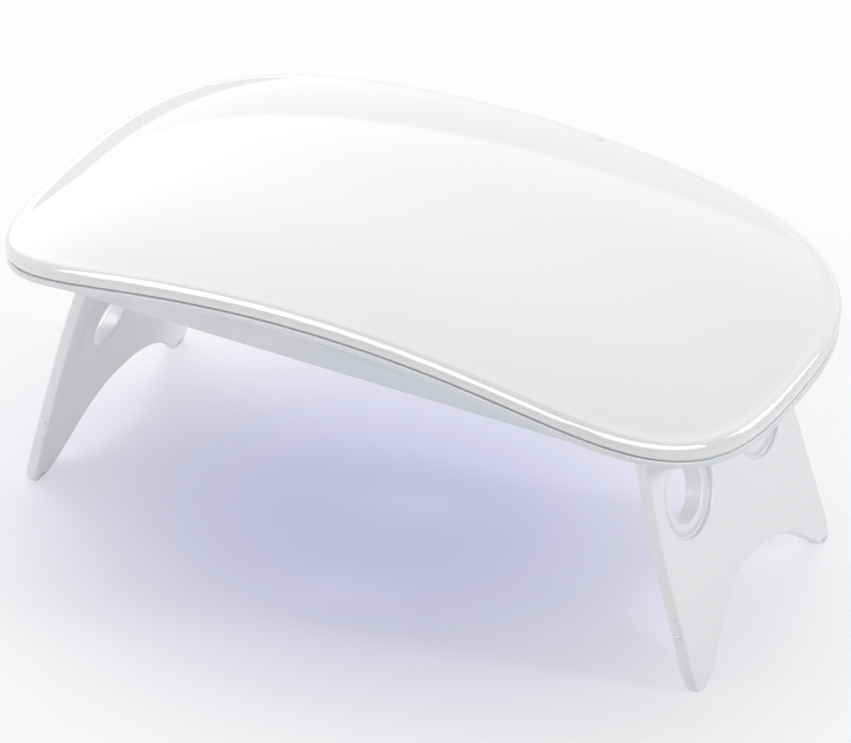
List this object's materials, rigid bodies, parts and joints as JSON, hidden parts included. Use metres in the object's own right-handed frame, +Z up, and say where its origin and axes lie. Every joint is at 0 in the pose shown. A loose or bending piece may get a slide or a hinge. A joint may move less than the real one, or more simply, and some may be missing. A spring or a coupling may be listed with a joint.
{
  "type": "gel nail lamp",
  "caption": "Folding gel nail lamp: an arched press-to-start lid over a light board, on two leaning plate legs with finger holes that fold flat beneath.",
  "frame": {"origin": "on the table, under the middle of the lamp", "axes": "+X along the lamp, +Y towards the back with the power inlet, +Z up"},
  "size_m": [0.137, 0.0724, 0.0618],
  "materials": {
    "lid_gloss": "glossy moulded",
    "housing_plastic": "satin moulded",
    "leg_plastic": "satin moulded",
    "mirror_sheet": "polished",
    "board_metal": "white mask over metal",
    "circuit_board": "solder mask",
    "black_plastic": "moulded",
    "grey_plastic": "moulded",
    "dark_ferrite": "sintered",
    "can_metal": "drawn",
    "clear_resin": "clear moulded",
    "bright_steel": "plated",
    "white_ceramic": "matt",
    "red_insulation": "extruded",
    "black_insulation": "extruded"
  },
  "bodies": {
    "housing": {"lower_housing": "housing_plastic", "reflector": "mirror_sheet", "light_board": "board_metal", "control_board": "circuit_board", "switch_body": "black_plastic", "controller_chip": "black_plastic", "driver_chip": "black_plastic", "inductor": "dark_ferrite", "capacitor": "can_metal", "status_light": "clear_resin", "socket_board": "circuit_board", "socket_shell": "bright_steel", "socket_tongue": "black_plastic", "hinge_pin_1": "bright_steel", "hinge_pin_2": "bright_steel", "hinge_pin_3": "bright_steel", "hinge_pin_4": "bright_steel", "light_board_screw_1": "bright_steel", "light_board_screw_2": "bright_steel", "light_board_screw_3": "bright_steel", "light_board_screw_4": "bright_steel", "control_board_screw_1": "bright_steel", "control_board_screw_2": "bright_steel", "control_board_screw_3": "bright_steel", "control_board_screw_4": "bright_steel", "led_base_1": "white_ceramic", "led_base_2": "white_ceramic", "led_base_3": "white_ceramic", "led_base_4": "white_ceramic", "led_base_5": "white_ceramic", "led_base_6": "white_ceramic", "led_lens_1": "clear_resin", "led_lens_2": "clear_resin", "led_lens_3": "clear_resin", "led_lens_4": "clear_resin", "led_lens_5": "clear_resin", "led_lens_6": "clear_resin", "socket_wire_red": "red_insulation", "socket_wire_black": "black_insulation", "light_wire_red": "red_insulation", "light_wire_black": "black_insulation"},
    "lid": {"top_cover": "lid_gloss", "light_pipe": "clear_resin", "cover_screw_1": "bright_steel", "cover_screw_2": "bright_steel", "cover_screw_3": "bright_steel", "cover_screw_4": "bright_steel"},
    "right_leg": {"leg_right": "leg_plastic"},
    "left_leg": {"leg_left": "leg_plastic"},
    "switch_button": {"switch_plunger": "grey_plastic"}
  },
  "joints": [
    {"name": "right_leg_fold", "type": "hinge", "parent": "housing", "child": "right_leg", "pos_m": [0.04954, 0, 0.0448], "axis": [0, 1, 0], "range_deg": [0, 105.4]},
    {"name": "left_leg_fold", "type": "hinge", "parent": "housing", "child": "left_leg", "pos_m": [-0.04954, 0, 0.0448], "axis": [0, -1, 0], "range_deg": [0, 105.4]},
    {"name": "lid_press", "type": "slide", "parent": "housing", "child": "lid", "axis": [0, 0, -1], "range_m": [0, 0.0003], "stiffness_N_per_m": 4000, "springref_m": -0.0003},
    {"name": "switch_press", "type": "slide", "parent": "housing", "child": "switch_button", "axis": [0, 0, -1], "range_m": [0, 0.0003], "stiffness_N_per_m": 8, "springref_m": -0.0001}
  ],
  "couplings": [
    {"joint": "switch_press", "follows": "lid_press", "ratio": 1}
  ]
}
